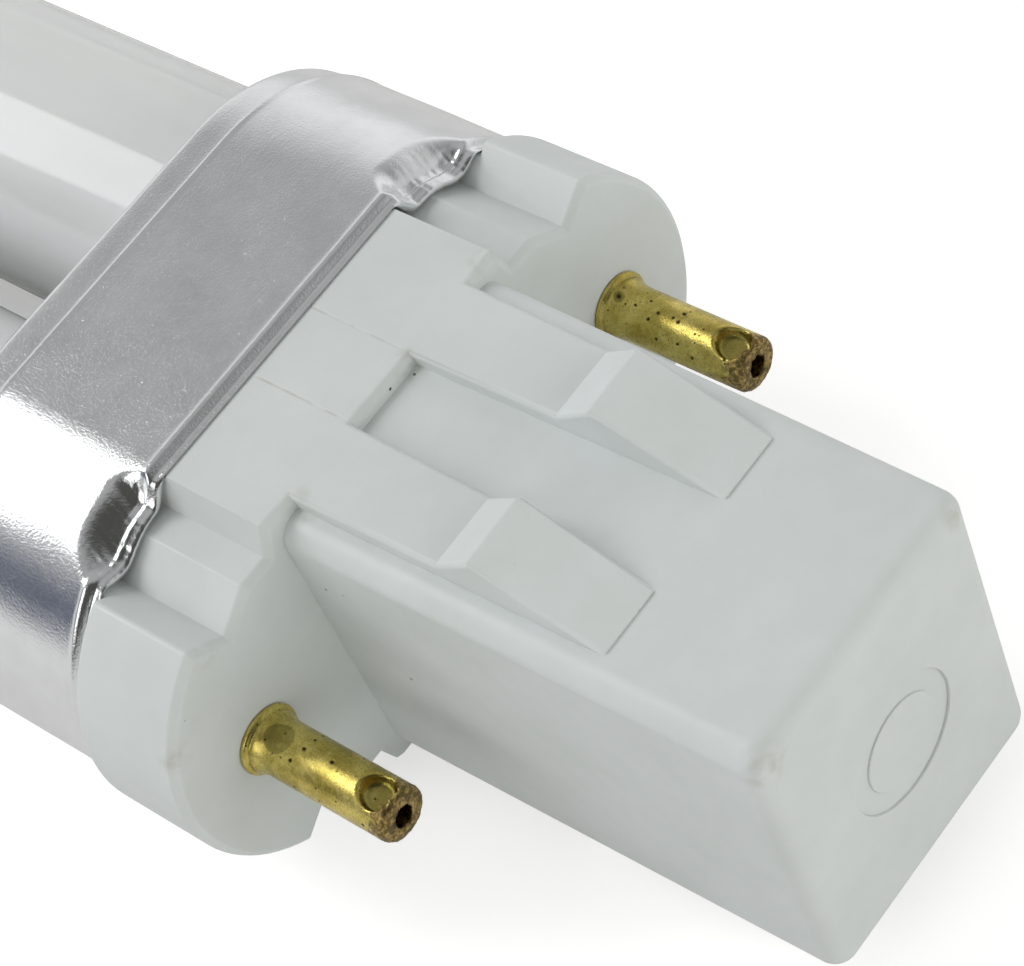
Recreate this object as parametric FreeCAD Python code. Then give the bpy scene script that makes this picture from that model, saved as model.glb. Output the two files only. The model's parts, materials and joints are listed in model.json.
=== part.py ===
import FreeCAD, Part
import math
import os

from FreeCAD import Vector

# A two-pin fluorescent lamp with a U-bent tube, lying on its broad side, in millimetres.
# X runs from pin to pin, Y along the lamp towards the bend, Z is up.
# While it is built, Y = 0 is the shoulder that seats on the lamp holder and Z = 0 is the lamp's axis.

# Glass tube, bent to a U, with flat pinched ends inside the cap
TUBE_DIAMETER = 12.2
LEG_GAP = 2.1
TUBE_REACH = 144.0
LEG_END_EDGE = 2.5
PINCH_WIDTH = 10.0
PINCH_THICKNESS = 3.2
PINCH_EDGE = 0.6

# Pins: turned from brass tube, riveted into the shoulder
PIN_SPACING = 23.0
PIN_DIAMETER = 2.36
PIN_LENGTH = 7.1
PIN_BORE = 1.1
PIN_TIP_EDGE = 0.15
PIN_FIT = 0.02
COLLAR_DIAMETER = 3.0
COLLAR_THICKNESS = 0.25
FLARE_LEDGE = 0.1
FLARE_LENGTH = 0.75
FLARE_BEND = 0.25
RIVET_DIAMETER = 3.0
RIVET_THICKNESS = 0.4
RIVET_ROOM = 0.3
DIMPLE_DIAMETER = 1.7
DIMPLE_FROM_TIP = 0.95
DIMPLE_DEPTH = 0.72

# Cap moulding: flange, spigot inside the shell, and square post
CAP_WALL = 1.3
ROOM_BESIDE_TUBE = 0.55
ROOM_ABOVE_TUBE = 1.0
FLANGE_END_LIP = 0.55
FLANGE_DEPTH = 5.2
SHOULDER_EDGE = 0.3
SHOULDER_WALL = 1.8
POST_LENGTH = 21.8
POST_ROOT_WIDTH = 13.5
POST_END_WIDTH = 12.8
POST_THICKNESS = 15.4
POST_CORNER = 1.0
POST_END_EDGE = 0.9
POST_END_WALL = 1.7

# Crimp grooves: a steep wall beside the plateau, a level ledge, then a valley
GROOVE_INSET = 0.5
LEDGE_DROP = 1.4
LEDGE_WALL_RUN = 0.5
LEDGE_WIDTH = 1.4
VALLEY_RUN = 1.65
VALLEY_DROP = 2.55
OUTER_FLANK_ANGLE = 35.0
VALLEY_FLOOR_WALL = 1.0
GROOVE_SPARE = 0.5

# Catch ribs: level with the plateau, a short ramp up to a crest, a long lead-in
RIB_WIDTH = 3.75
RIB_TIP_WIDTH = 3.1
RIB_PITCH = 7.3
RIB_LENGTH = 6.9
CREST_RUN = 1.85
CREST_RISE = 1.3
LEAD_IN_LENGTH = 5.65
LEAD_IN_STEP = 0.1
RIB_EDGE = 0.15

# Round recess with a low boss in the end of the post
RECESS_DIAMETER = 5.8
RECESS_DEPTH = 0.45
BOSS_DIAMETER = 4.0
BOSS_HEIGHT = 0.3

# Shell: drawn aluminium, crimped into the grooves, with a stepped rim round the legs
SHELL_SHEET = 0.3
SHELL_CLEARANCE = 0.05
SHELL_LENGTH = 10.75
RIM_BAND = 1.9
RIM_STEP = 0.2
RIM_EDGE = 0.35
RIM_OPENING_GAP = 0.35
FRONT_EDGE = 0.2
DENT_STRIP = 0.6
DENT_LENGTH = 1.6
DENT_CLEARANCE = 0.12

# Cement between the legs and the shell
CEMENT_THICKNESS = 2.6
CEMENT_FIT = 0.05
CEMENT_GAP = 0.4

# Starter, capacitor and lead wires inside the cap
LEAD_DIAMETER = 0.5
LEAD_SIDES = 10
LEAD_SLANT = 0.8
LEAD_SPREAD = 2.0
LEAD_TURN_DEPTH = 1.0
LEAD_ROOM = 2.9
LEAD_GAP = 0.05
PIN_LEAD_SHORT = 1.8
STARTER_NECK_LENGTH = 1.6
STARTER_NECK_DIAMETER = 4.4
STARTER_END_EDGE = 1.2
STARTER_SHOULDER_EDGE = 0.8
STARTER_MOUTH_DEPTH = 2.2
STARTER_LEAD_PITCH = 2.4
CAPACITOR_WIDTH = 7.6
CAPACITOR_THICKNESS = 3.4
CAPACITOR_LENGTH = 10.0
CAPACITOR_EDGE = 0.8
CAPACITOR_LEAD_PITCH = 5.0
STARTER_SEAT_GAP = 0.25
STARTER_CAPACITOR_GAP = 1.0
LEG_END_GAP = 0.5

# How far a cutter runs past the face that it opens
CUT_PAST = 1.0
CUT_HEIGHT = 10.0

# Sizes and places worked out from those above
SIDES = (-1, 1)
X_AXIS = Vector(1, 0, 0)
Y_AXIS = Vector(0, 1, 0)
Z_AXIS = Vector(0, 0, 1)
PIN_X = PIN_SPACING / 2
TUBE_RADIUS = TUBE_DIAMETER / 2
LEG_X = (TUBE_DIAMETER + LEG_GAP) / 2
BEND_Y = TUBE_REACH - LEG_X - TUBE_RADIUS
SPIGOT_HALF_WIDTH = LEG_X + TUBE_RADIUS + ROOM_BESIDE_TUBE + CAP_WALL
SHELL_HALF_WIDTH = SPIGOT_HALF_WIDTH + SHELL_CLEARANCE + SHELL_SHEET
FLANGE_HALF_WIDTH = SHELL_HALF_WIDTH + FLANGE_END_LIP
FLANGE_HALF = TUBE_RADIUS + ROOM_ABOVE_TUBE + CAP_WALL
SHELL_HALF = FLANGE_HALF + SHELL_CLEARANCE + SHELL_SHEET
CREST_HALF = FLANGE_HALF + CREST_RISE
SHELL_FRONT_Y = FLANGE_DEPTH
SHELL_RIM_Y = SHELL_FRONT_Y + SHELL_LENGTH
CEMENT_END_Y = SHELL_RIM_Y - SHELL_SHEET
CEMENT_START_Y = CEMENT_END_Y - CEMENT_THICKNESS
SPIGOT_END_Y = CEMENT_START_Y - CEMENT_GAP
GROOVE_END_Y = FLANGE_DEPTH + DENT_STRIP + DENT_LENGTH + GROOVE_SPARE
LOW_CAVITY_HALF = FLANGE_HALF - VALLEY_DROP - VALLEY_FLOOR_WALL
TUBE_CAVITY_Y = GROOVE_END_Y + VALLEY_FLOOR_WALL
LEG_END_Y = TUBE_CAVITY_Y + LEG_END_GAP
RIVET_Y = SHOULDER_WALL + RIVET_THICKNESS
PINCH_END_Y = RIVET_Y + LEAD_ROOM
LEAD_TURN_Y = PINCH_END_Y - LEAD_TURN_DEPTH
POST_CAVITY_HALF_WIDTH = POST_END_WIDTH / 2 - CAP_WALL
POST_CAVITY_HALF = POST_THICKNESS / 2 - CAP_WALL
POST_FLOOR_Y = POST_END_WALL - POST_LENGTH
STARTER_ROOM = 2 * POST_CAVITY_HALF - 2 * STARTER_SEAT_GAP
STARTER_RADIUS = (STARTER_ROOM - STARTER_CAPACITOR_GAP - CAPACITOR_THICKNESS) / 2
STARTER_Z = STARTER_SEAT_GAP + STARTER_RADIUS - POST_CAVITY_HALF
STARTER_NECK_Y = -STARTER_MOUTH_DEPTH - STARTER_NECK_LENGTH
CAPACITOR_Z = POST_CAVITY_HALF - STARTER_SEAT_GAP - CAPACITOR_THICKNESS / 2


def line(a, b):
    return Part.LineSegment(a, b).toShape()


def polygon_face(points):
    return Part.Face(Part.makePolygon(list(points) + [points[0]]))


def stadium(half_width, half_thickness, y):
    """Flat-sided oval across the lamp at Y = y."""
    c = half_width - half_thickness
    top_left = Vector(-c, y, half_thickness)
    top_right = Vector(c, y, half_thickness)
    low_right = Vector(c, y, -half_thickness)
    low_left = Vector(-c, y, -half_thickness)
    right_end = Part.Arc(top_right, Vector(half_width, y, 0), low_right).toShape()
    left_end = Part.Arc(low_left, Vector(-half_width, y, 0), top_left).toShape()
    return Part.Wire([line(top_left, top_right), right_end, line(low_right, low_left), left_end])


def stadium_prism(half_width, half_thickness, y_from, y_to):
    face = Part.Face(stadium(half_width, half_thickness, y_from))
    return face.extrude(Y_AXIS * (y_to - y_from))


def box(x_half, z_half, y_from, y_to):
    corner = Vector(-x_half, y_from, -z_half)
    return Part.makeBox(2 * x_half, y_to - y_from, 2 * z_half, corner)


def rod(radius, x, y_from, y_to, z=0.0):
    return Part.makeCylinder(radius, y_to - y_from, Vector(x, y_from, z), Y_AXIS)


def edges_at(shape, y, tolerance=1e-6):
    """Edges that lie wholly in the plane Y = y."""
    found = []
    for edge in shape.Edges:
        bounds = edge.BoundBox
        if abs(bounds.YMin - y) < tolerance and abs(bounds.YMax - y) < tolerance:
            found.append(edge)
    return found


def lengthwise_edges(shape):
    """Edges that run more along Y than across it."""
    found = []
    for edge in shape.Edges:
        bounds = edge.BoundBox
        if bounds.YLength > bounds.XLength + bounds.ZLength:
            found.append(edge)
    return found


def groove_face(sx, sz, y):
    """Section of one crimp groove, with the open space above it."""
    plateau_x = FLANGE_HALF_WIDTH - FLANGE_HALF - GROOVE_INSET
    ledge_x = plateau_x + LEDGE_WALL_RUN
    ledge_z = FLANGE_HALF - LEDGE_DROP
    valley_x = ledge_x + LEDGE_WIDTH + VALLEY_RUN
    valley_z = FLANGE_HALF - VALLEY_DROP
    outer_x = FLANGE_HALF_WIDTH + CUT_PAST
    outer_z = valley_z + (outer_x - valley_x) * math.tan(math.radians(OUTER_FLANK_ANGLE))
    clear_z = outer_z + CUT_HEIGHT
    outline = (
        (plateau_x, clear_z),
        (plateau_x, FLANGE_HALF),
        (ledge_x, ledge_z),
        (ledge_x + LEDGE_WIDTH, ledge_z),
        (valley_x, valley_z),
        (outer_x, outer_z),
        (outer_x, clear_z),
    )
    return polygon_face([Vector(sx * px, y, sz * pz) for px, pz in outline])


def crimp_grooves():
    cutters = []
    for sx in SIDES:
        for sz in SIDES:
            section = groove_face(sx, sz, -CUT_PAST)
            cutters.append(section.extrude(Y_AXIS * (GROOVE_END_Y + CUT_PAST)))
    return cutters


def catch_rib(sx, sz):
    """One rib on a broad face of the post, rooted in the flange and narrower towards its tip."""
    ramp_y = -RIB_LENGTH
    crest_y = ramp_y - CREST_RUN
    tip_y = crest_y - LEAD_IN_LENGTH
    x = sx * RIB_PITCH / 2
    half_root = RIB_WIDTH / 2
    half_tip = RIB_TIP_WIDTH / 2
    side = (
        (CAP_WALL, 0),
        (CAP_WALL, FLANGE_HALF),
        (ramp_y, FLANGE_HALF),
        (crest_y, CREST_HALF),
        (tip_y, POST_THICKNESS / 2 + LEAD_IN_STEP),
        (tip_y, 0),
    )
    plan = (
        (-half_root, CAP_WALL),
        (half_root, CAP_WALL),
        (half_tip, tip_y),
        (-half_tip, tip_y),
    )
    side_face = polygon_face([Vector(x - half_root, py, sz * pz) for py, pz in side])
    plan_face = polygon_face([Vector(x + px, py, 0) for px, py in plan])
    rib = side_face.extrude(X_AXIS * RIB_WIDTH)
    rib = rib.common(plan_face.extrude(Z_AXIS * (sz * CREST_HALF)))
    raised = [edge for edge in lengthwise_edges(rib) if abs(edge.CenterOfMass.z) > POST_CAVITY_HALF]
    return rib.makeChamfer(RIB_EDGE, raised)


def post_body():
    """Square post, narrower towards its end, with rounded corners."""
    half_root = POST_ROOT_WIDTH / 2
    half_end = POST_END_WIDTH / 2
    plan = ((-half_root, 0), (half_root, 0), (half_end, -POST_LENGTH), (-half_end, -POST_LENGTH))
    plan_face = polygon_face([Vector(px, py, -POST_THICKNESS / 2) for px, py in plan])
    body = plan_face.extrude(Z_AXIS * POST_THICKNESS)
    body = body.makeFillet(POST_CORNER, lengthwise_edges(body))
    return body.makeFillet(POST_END_EDGE, edges_at(body, -POST_LENGTH))


def end_recess():
    floor_y = RECESS_DEPTH - POST_LENGTH
    recess = rod(RECESS_DIAMETER / 2, 0, -POST_LENGTH, floor_y)
    boss = rod(BOSS_DIAMETER / 2, 0, floor_y - BOSS_HEIGHT, floor_y)
    return recess.cut(boss)


def cap_hollow():
    """Room for the starter in the post, the pinches under the grooves and the legs behind them."""
    inner_half_width = SPIGOT_HALF_WIDTH - CAP_WALL
    hollow = [
        box(POST_CAVITY_HALF_WIDTH, POST_CAVITY_HALF, POST_FLOOR_Y, SHOULDER_WALL),
        stadium_prism(inner_half_width, LOW_CAVITY_HALF, SHOULDER_WALL, SPIGOT_END_Y),
        stadium_prism(inner_half_width, FLANGE_HALF - CAP_WALL, TUBE_CAVITY_Y, SPIGOT_END_Y),
    ]
    for sx in SIDES:
        hollow.append(rod(PIN_DIAMETER / 2 + PIN_FIT, sx * PIN_X, -CUT_PAST, SHOULDER_WALL))
        hollow.append(rod(RIVET_DIAMETER / 2 + RIVET_ROOM, sx * PIN_X, SHOULDER_WALL, TUBE_CAVITY_Y))
    return hollow


def cap_moulding():
    flange = stadium_prism(FLANGE_HALF_WIDTH, FLANGE_HALF, 0, FLANGE_DEPTH)
    spigot = stadium_prism(SPIGOT_HALF_WIDTH, FLANGE_HALF, 0, SPIGOT_END_Y)
    cap = flange.fuse(spigot).removeSplitter().cut(crimp_grooves())
    cap = cap.makeChamfer(SHOULDER_EDGE, edges_at(cap, 0))
    ribs = [catch_rib(sx, sz) for sx in SIDES for sz in SIDES]
    cap = cap.fuse([post_body()] + ribs)
    return cap.cut(cap_hollow() + [end_recess()]).removeSplitter()


def dent_tools(raised, run):
    """Four crimp tools that follow the grooves at a distance and rise to nothing along the shell."""
    tools = []
    start_y = SHELL_FRONT_Y - CUT_PAST
    for sx in SIDES:
        for sz in SIDES:
            section = groove_face(sx, sz, start_y).makeOffset2D(-raised, join=2, fill=False)
            lead = section.extrude(Y_AXIS * (CUT_PAST + run))
            section.translate(Y_AXIS * (CUT_PAST + run))
            slope = section.extrude(Vector(0, DENT_LENGTH, sz * VALLEY_DROP))
            tools.append(lead.fuse(slope))
    return tools


def cap_shell():
    band_y = SHELL_RIM_Y - RIM_BAND
    inner_width = SHELL_HALF_WIDTH - SHELL_SHEET
    inner_half = SHELL_HALF - SHELL_SHEET
    body = stadium_prism(SHELL_HALF_WIDTH, SHELL_HALF, SHELL_FRONT_Y, band_y)
    body = body.makeChamfer(FRONT_EDGE, edges_at(body, SHELL_FRONT_Y))
    band = stadium_prism(SHELL_HALF_WIDTH - RIM_STEP, SHELL_HALF - RIM_STEP, band_y, SHELL_RIM_Y)
    band = band.makeChamfer(RIM_EDGE, edges_at(band, SHELL_RIM_Y))
    outside = body.fuse(band).cut(dent_tools(DENT_CLEARANCE + SHELL_SHEET, DENT_STRIP))
    room = stadium_prism(inner_width, inner_half, SHELL_FRONT_Y - CUT_PAST, band_y - SHELL_SHEET)
    neck = stadium_prism(inner_width - RIM_STEP, inner_half - RIM_STEP, SHELL_FRONT_Y, CEMENT_END_Y)
    inside = room.fuse(neck).cut(dent_tools(DENT_CLEARANCE, DENT_STRIP + SHELL_SHEET))
    opening_half = TUBE_RADIUS + RIM_OPENING_GAP
    opening = stadium_prism(LEG_X + opening_half, opening_half, band_y, SHELL_RIM_Y + CUT_PAST)
    return outside.cut([inside, opening])


def pin(sx):
    """Hollow pin with a flared collar outside and a rivet head inside the shoulder."""
    barrel = PIN_DIAMETER / 2
    collar = COLLAR_DIAMETER / 2
    bore = PIN_BORE / 2
    rivet = RIVET_DIAMETER / 2
    tip_y = -PIN_LENGTH
    flare_start = Vector(collar - FLARE_LEDGE, -COLLAR_THICKNESS, 0)
    flare_end = Vector(barrel, -COLLAR_THICKNESS - FLARE_LENGTH, 0)
    flare_bend_x = barrel + FLARE_BEND * (flare_start.x - barrel)
    flare_bend = Vector(flare_bend_x, -COLLAR_THICKNESS - FLARE_BEND * FLARE_LENGTH, 0)
    edges = [
        line(Vector(bore, RIVET_Y, 0), Vector(rivet, RIVET_Y, 0)),
        line(Vector(rivet, RIVET_Y, 0), Vector(rivet, SHOULDER_WALL, 0)),
        line(Vector(rivet, SHOULDER_WALL, 0), Vector(barrel, SHOULDER_WALL, 0)),
        line(Vector(barrel, SHOULDER_WALL, 0), Vector(barrel, 0, 0)),
        line(Vector(barrel, 0, 0), Vector(collar, 0, 0)),
        line(Vector(collar, 0, 0), Vector(collar, -COLLAR_THICKNESS, 0)),
        line(Vector(collar, -COLLAR_THICKNESS, 0), flare_start),
        line(flare_start, flare_bend),
        line(flare_bend, flare_end),
        line(flare_end, Vector(barrel, tip_y + PIN_TIP_EDGE, 0)),
        line(Vector(barrel, tip_y + PIN_TIP_EDGE, 0), Vector(barrel - PIN_TIP_EDGE, tip_y, 0)),
        line(Vector(barrel - PIN_TIP_EDGE, tip_y, 0), Vector(bore, tip_y, 0)),
        line(Vector(bore, tip_y, 0), Vector(bore, RIVET_Y, 0)),
    ]
    turned = Part.Face(Part.Wire(edges)).revolve(Vector(0, 0, 0), Y_AXIS, 360)
    punch_radius = DIMPLE_DIAMETER / 2
    punch_z = barrel - DIMPLE_DEPTH + punch_radius
    punch = Part.makeSphere(punch_radius, Vector(0, tip_y + DIMPLE_FROM_TIP, punch_z))
    turned = turned.cut(punch)
    turned.translate(X_AXIS * (sx * PIN_X))
    return turned


def glass_tube():
    legs = []
    for sx in SIDES:
        leg = rod(TUBE_RADIUS, sx * LEG_X, LEG_END_Y, BEND_Y)
        legs.append(leg.makeChamfer(LEG_END_EDGE, edges_at(leg, LEG_END_Y)))
        pinch = box(PINCH_WIDTH / 2, PINCH_THICKNESS / 2, PINCH_END_Y, LEG_END_Y + LEG_END_EDGE)
        pinch = pinch.makeFillet(PINCH_EDGE, lengthwise_edges(pinch))
        pinch.translate(X_AXIS * (sx * LEG_X))
        legs.append(pinch)
    ring = Part.Wire(Part.makeCircle(TUBE_RADIUS, Vector(LEG_X, BEND_Y, 0), Y_AXIS))
    bend = Part.Face(ring).revolve(Vector(0, BEND_Y, 0), Z_AXIS, 180)
    return bend.fuse(legs).removeSplitter()


def tube_cement():
    """Cement between the legs and the shell, against the turned-in rim."""
    inset = RIM_STEP + SHELL_SHEET + CEMENT_FIT
    plug = stadium_prism(SHELL_HALF_WIDTH - inset, SHELL_HALF - inset, CEMENT_START_Y, CEMENT_END_Y)
    holes = [rod(TUBE_RADIUS + CEMENT_FIT, sx * LEG_X, CEMENT_START_Y, CEMENT_END_Y) for sx in SIDES]
    return plug.cut(holes)


def lead_wire(points):
    """Thin wire with mitred bends, leaving its first point along Y."""
    radius = LEAD_DIAMETER / 2
    first = points[0]
    section = []
    for i in range(LEAD_SIDES):
        angle = 2 * math.pi * i / LEAD_SIDES
        section.append(first + Vector(radius * math.cos(angle), 0, radius * math.sin(angle)))
    outline = Part.makePolygon(section + [section[0]])
    mitred = 1
    return Part.makePolygon(points).makePipeShell([outline], True, False, mitred)


def pin_lead(sx):
    """Lead from the outer side of a pinch into the hollow pin."""
    x = sx * (LEG_X + LEAD_SPREAD)
    return lead_wire([
        Vector(x, PINCH_END_Y, 0),
        Vector(x, LEAD_TURN_Y, 0),
        Vector(sx * PIN_X, LEAD_TURN_Y - LEAD_SLANT, 0),
        Vector(sx * PIN_X, PIN_LEAD_SHORT - PIN_LENGTH, 0),
    ])


def starter_lead(sx):
    """Lead from the inner side of a pinch to the mouth of the starter."""
    x = sx * (LEG_X - LEAD_SPREAD)
    mouth_x = sx * STARTER_LEAD_PITCH / 2
    return lead_wire([
        Vector(x, PINCH_END_Y, 0),
        Vector(x, LEAD_TURN_Y, 0),
        Vector(mouth_x, LEAD_TURN_Y - LEAD_SLANT, STARTER_Z),
        Vector(mouth_x, -STARTER_MOUTH_DEPTH, STARTER_Z),
    ])


def starter_bottle():
    """Small glass bottle with a drawn-in end and a narrower mouth."""
    end_y = POST_FLOOR_Y + STARTER_SEAT_GAP
    body = rod(STARTER_RADIUS, 0, end_y, STARTER_NECK_Y, STARTER_Z)
    body = body.makeChamfer(STARTER_END_EDGE, edges_at(body, end_y))
    body = body.makeChamfer(STARTER_SHOULDER_EDGE, edges_at(body, STARTER_NECK_Y))
    neck = rod(STARTER_NECK_DIAMETER / 2, 0, end_y, -STARTER_MOUTH_DEPTH, STARTER_Z)
    return body.fuse(neck).removeSplitter()


def starter_capacitor():
    body = box(CAPACITOR_WIDTH / 2, CAPACITOR_THICKNESS / 2, STARTER_NECK_Y - CAPACITOR_LENGTH, STARTER_NECK_Y)
    body = body.makeFillet(CAPACITOR_EDGE, lengthwise_edges(body))
    body.translate(Z_AXIS * CAPACITOR_Z)
    return body


def capacitor_lead(sx):
    """Leg of the capacitor, bent over to lie against a lead of the starter."""
    x = sx * CAPACITOR_LEAD_PITCH / 2
    end_x = sx * (STARTER_LEAD_PITCH / 2 + LEAD_DIAMETER + LEAD_GAP)
    turn_y = LEAD_TURN_DEPTH - STARTER_MOUTH_DEPTH
    return lead_wire([
        Vector(x, STARTER_NECK_Y, CAPACITOR_Z),
        Vector(x, turn_y, CAPACITOR_Z),
        Vector(end_x, turn_y, STARTER_Z),
    ])


def lamp():
    pieces = {
        "cap_moulding": cap_moulding(),
        "cap_shell": cap_shell(),
        "glass_tube": glass_tube(),
        "tube_cement": tube_cement(),
        "starter_bottle": starter_bottle(),
        "starter_capacitor": starter_capacitor(),
    }
    for sx, side in zip(SIDES, ("left", "right")):
        pieces["pin_" + side] = pin(sx)
        pieces["pin_lead_" + side] = pin_lead(sx)
        pieces["starter_lead_" + side] = starter_lead(sx)
        pieces["capacitor_lead_" + side] = capacitor_lead(sx)
    return pieces


# The finished lamp's origin is at the bottom centre of its box
lift = Vector(0, (POST_LENGTH - TUBE_REACH) / 2, max(CREST_HALF, SHELL_HALF))
os.makedirs("parts", exist_ok=True)
for name, shape in lamp().items():
    shape.translate(lift)
    shape.exportStep("parts/" + name + ".step")
    print(name, "valid", shape.isValid(), "solids", len(shape.Solids), "volume", round(shape.Volume, 2))
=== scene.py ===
# %% [markdown]
# # A plug-in fluorescent lamp
# The lamp is a U-bent glass tube cemented into an aluminium shell. The shell is crimped to
# a white moulded cap with a square post and two brass pins. Its solids are packed already,
# so this lesson loads them as a fixed frame and gives them their looks, without moving them.

# %% Load the frame
import json
import math
import bmesh
import bpy
import numpy as np
from mathutils import Matrix, Vector, noise


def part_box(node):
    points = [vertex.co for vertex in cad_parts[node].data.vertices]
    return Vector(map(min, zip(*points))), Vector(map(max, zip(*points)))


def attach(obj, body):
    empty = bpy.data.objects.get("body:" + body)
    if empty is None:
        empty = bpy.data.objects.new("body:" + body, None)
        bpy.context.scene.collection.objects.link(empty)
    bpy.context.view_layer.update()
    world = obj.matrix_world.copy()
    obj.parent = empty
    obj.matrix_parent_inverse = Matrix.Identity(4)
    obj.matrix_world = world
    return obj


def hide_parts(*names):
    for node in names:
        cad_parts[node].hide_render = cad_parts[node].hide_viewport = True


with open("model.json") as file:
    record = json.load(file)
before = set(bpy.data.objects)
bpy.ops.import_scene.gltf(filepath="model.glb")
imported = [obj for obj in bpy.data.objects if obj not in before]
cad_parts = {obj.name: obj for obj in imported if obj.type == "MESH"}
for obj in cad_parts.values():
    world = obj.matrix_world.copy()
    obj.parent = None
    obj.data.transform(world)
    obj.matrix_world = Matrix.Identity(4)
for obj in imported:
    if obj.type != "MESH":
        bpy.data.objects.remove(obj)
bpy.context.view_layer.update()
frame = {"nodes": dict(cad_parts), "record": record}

print("solids:", sorted(frame["nodes"]))

# %% [markdown]
# Lamp makers measure from the shoulder that seats on the holder, and from the lamp's axis.
# The seat's place is in the record, so every size below can be a plain millimetre size from
# there, and one short function turns it into metres in the frame.

# %% Places on the lamp
MM = 0.001
seat = next(m for m in frame["record"]["mounts"] if m["name"] == "shoulder")
SHOULDER_Y = seat["pos_m"][1]
AXIS_Z = seat["pos_m"][2]


def lamp_point(x, y, z):
    """Millimetres from the shoulder and the axis, as a place in the frame."""
    return Vector((x * MM, SHOULDER_Y + y * MM, AXIS_Z + z * MM))


def lamp_box(node):
    """A solid's box in millimetres from the shoulder and the axis."""
    low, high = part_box(node)
    origin = lamp_point(0, 0, 0)
    return (low - origin) / MM, (high - origin) / MM


print("shoulder at", round(SHOULDER_Y, 4), "axis at", round(AXIS_Z, 4))

# %% [markdown]
# ## The camera
# A close picture with little perspective comes from a long lens some way off. The camera
# hangs over the pins' side of the cap, looks down at about fifty degrees and is rolled, so
# the post runs to the lower right corner. Three directions fix that better than angles do.

# %% Camera
CAMERA_AT = lamp_point(-40.33, -71.41, 100.34)
CAMERA_VIEW = Vector((0.33, 0.54, -0.7743))
CAMERA_TOP = Vector((0.7349, 0.3679, 0.5697))
SENSOR_MM = 36.0
IMAGE_WIDTH = 1024
FOCAL_PIXELS = 3300
CLIP_FROM = 0.005


def show(thing):
    bpy.context.scene.collection.objects.link(thing)


def camera_matrix(at, view, top):
    back = -view.normalized()
    right = top.cross(back).normalized()
    up = back.cross(right)
    matrix = Matrix((right, up, back)).transposed().to_4x4()
    matrix.translation = at
    return matrix


camera_data = bpy.data.cameras.new("photo_camera")
camera_data.sensor_fit = "HORIZONTAL"
camera_data.sensor_width = SENSOR_MM
camera_data.lens = SENSOR_MM * FOCAL_PIXELS / IMAGE_WIDTH
camera_data.clip_start = CLIP_FROM
camera = bpy.data.objects.new("photo_camera", camera_data)
camera.matrix_world = camera_matrix(CAMERA_AT, CAMERA_VIEW, CAMERA_TOP)
show(camera)
bpy.context.scene.camera = camera
print("lens", round(camera_data.lens, 1), "mm")

# %% [markdown]
# ## Node helpers
# Every finish below is a small node tree. These helpers keep each tree to a few readable
# lines: one adds a node and sets or links its inputs, the others are the usual steps, which
# are a sum, a product, the larger of two values, a cut-off and a mix of two colours. A
# socket knows its own tree, as its id_data, so the steps need only be given sockets.

# %% Node helpers
MIX_FACTOR, MIX_A, MIX_B, MIX_RESULT = 0, 6, 7, 2


def set_inputs(node, inputs):
    """Link each input that is given a socket, and set each that is given a value."""
    for name, value in inputs.items():
        if isinstance(value, bpy.types.NodeSocket):
            node.id_data.links.new(value, node.inputs[name])
        else:
            node.inputs[name].default_value = value


def add_node(tree, kind, inputs=None, **settings):
    node = tree.nodes.new(kind)
    for name, value in settings.items():
        setattr(node, name, value)
    set_inputs(node, inputs or {})
    return node


def math_node(operation, a, b=0.0):
    node = add_node(a.id_data, "ShaderNodeMath", {0: a, 1: b}, operation=operation)
    return node.outputs[0]


def times(a, b):
    return math_node("MULTIPLY", a, b)


def plus(a, b):
    return math_node("ADD", a, b)


def larger(a, b):
    return math_node("MAXIMUM", a, b)


def spread(value, low, high, to_low=0.0, to_high=1.0):
    """Stretch the part of a value between low and high over a new span."""
    inputs = {"Value": value, "From Min": low, "From Max": high}
    inputs.update({"To Min": to_low, "To Max": to_high})
    return add_node(value.id_data, "ShaderNodeMapRange", inputs).outputs[0]


def mix_colour(factor, a, b):
    """A Mix node has sockets for every kind of data; these are the ones for colours."""
    inputs = {MIX_FACTOR: factor, MIX_A: a, MIX_B: b}
    node = add_node(factor.id_data, "ShaderNodeMix", inputs, data_type="RGBA")
    return node.outputs[MIX_RESULT]


print("colours mix at inputs", MIX_A, MIX_B)

# %% [markdown]
# The patterns lie on the object's own coordinates, so they stay on the lamp wherever the
# camera stands. A noise keeps mostly to the middle of its range, so most finishes stretch
# that middle over the span they need. An occlusion node finds corners by itself.

# %% Pattern helpers
NOISE_SPAN = (0.3, 0.7)
OCCLUSION_SAMPLES = 8


def object_coords(tree):
    return add_node(tree, "ShaderNodeTexCoord").outputs["Object"]


def object_axes(tree):
    """X, Y and Z of a place on the object."""
    return add_node(tree, "ShaderNodeSeparateXYZ", {0: object_coords(tree)}).outputs


def surface_place(tree, scale=(1, 1, 1), turn=(0, 0, 0)):
    """Object coordinates, turned or stretched for one pattern."""
    inputs = {"Vector": object_coords(tree), "Rotation": turn, "Scale": scale}
    return add_node(tree, "ShaderNodeMapping", inputs).outputs[0]


def noise_field(tree, scale=1.0, detail=2.0, roughness=0.5, place=None):
    inputs = {"Vector": place or surface_place(tree)}
    inputs.update({"Scale": scale, "Detail": detail, "Roughness": roughness})
    return add_node(tree, "ShaderNodeTexNoise", inputs).outputs[0]


def stretched(field, to_low=0.0, to_high=1.0):
    """A noise whose usual span is stretched over a new one."""
    return spread(field, *NOISE_SPAN, to_low, to_high)


def openness(tree, reach):
    """1 on open surface, less in corners and holes of about this reach."""
    settings = {"samples": OCCLUSION_SAMPLES, "only_local": True}
    node = add_node(tree, "ShaderNodeAmbientOcclusion", {"Distance": reach}, **settings)
    return node.outputs["AO"]


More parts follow.
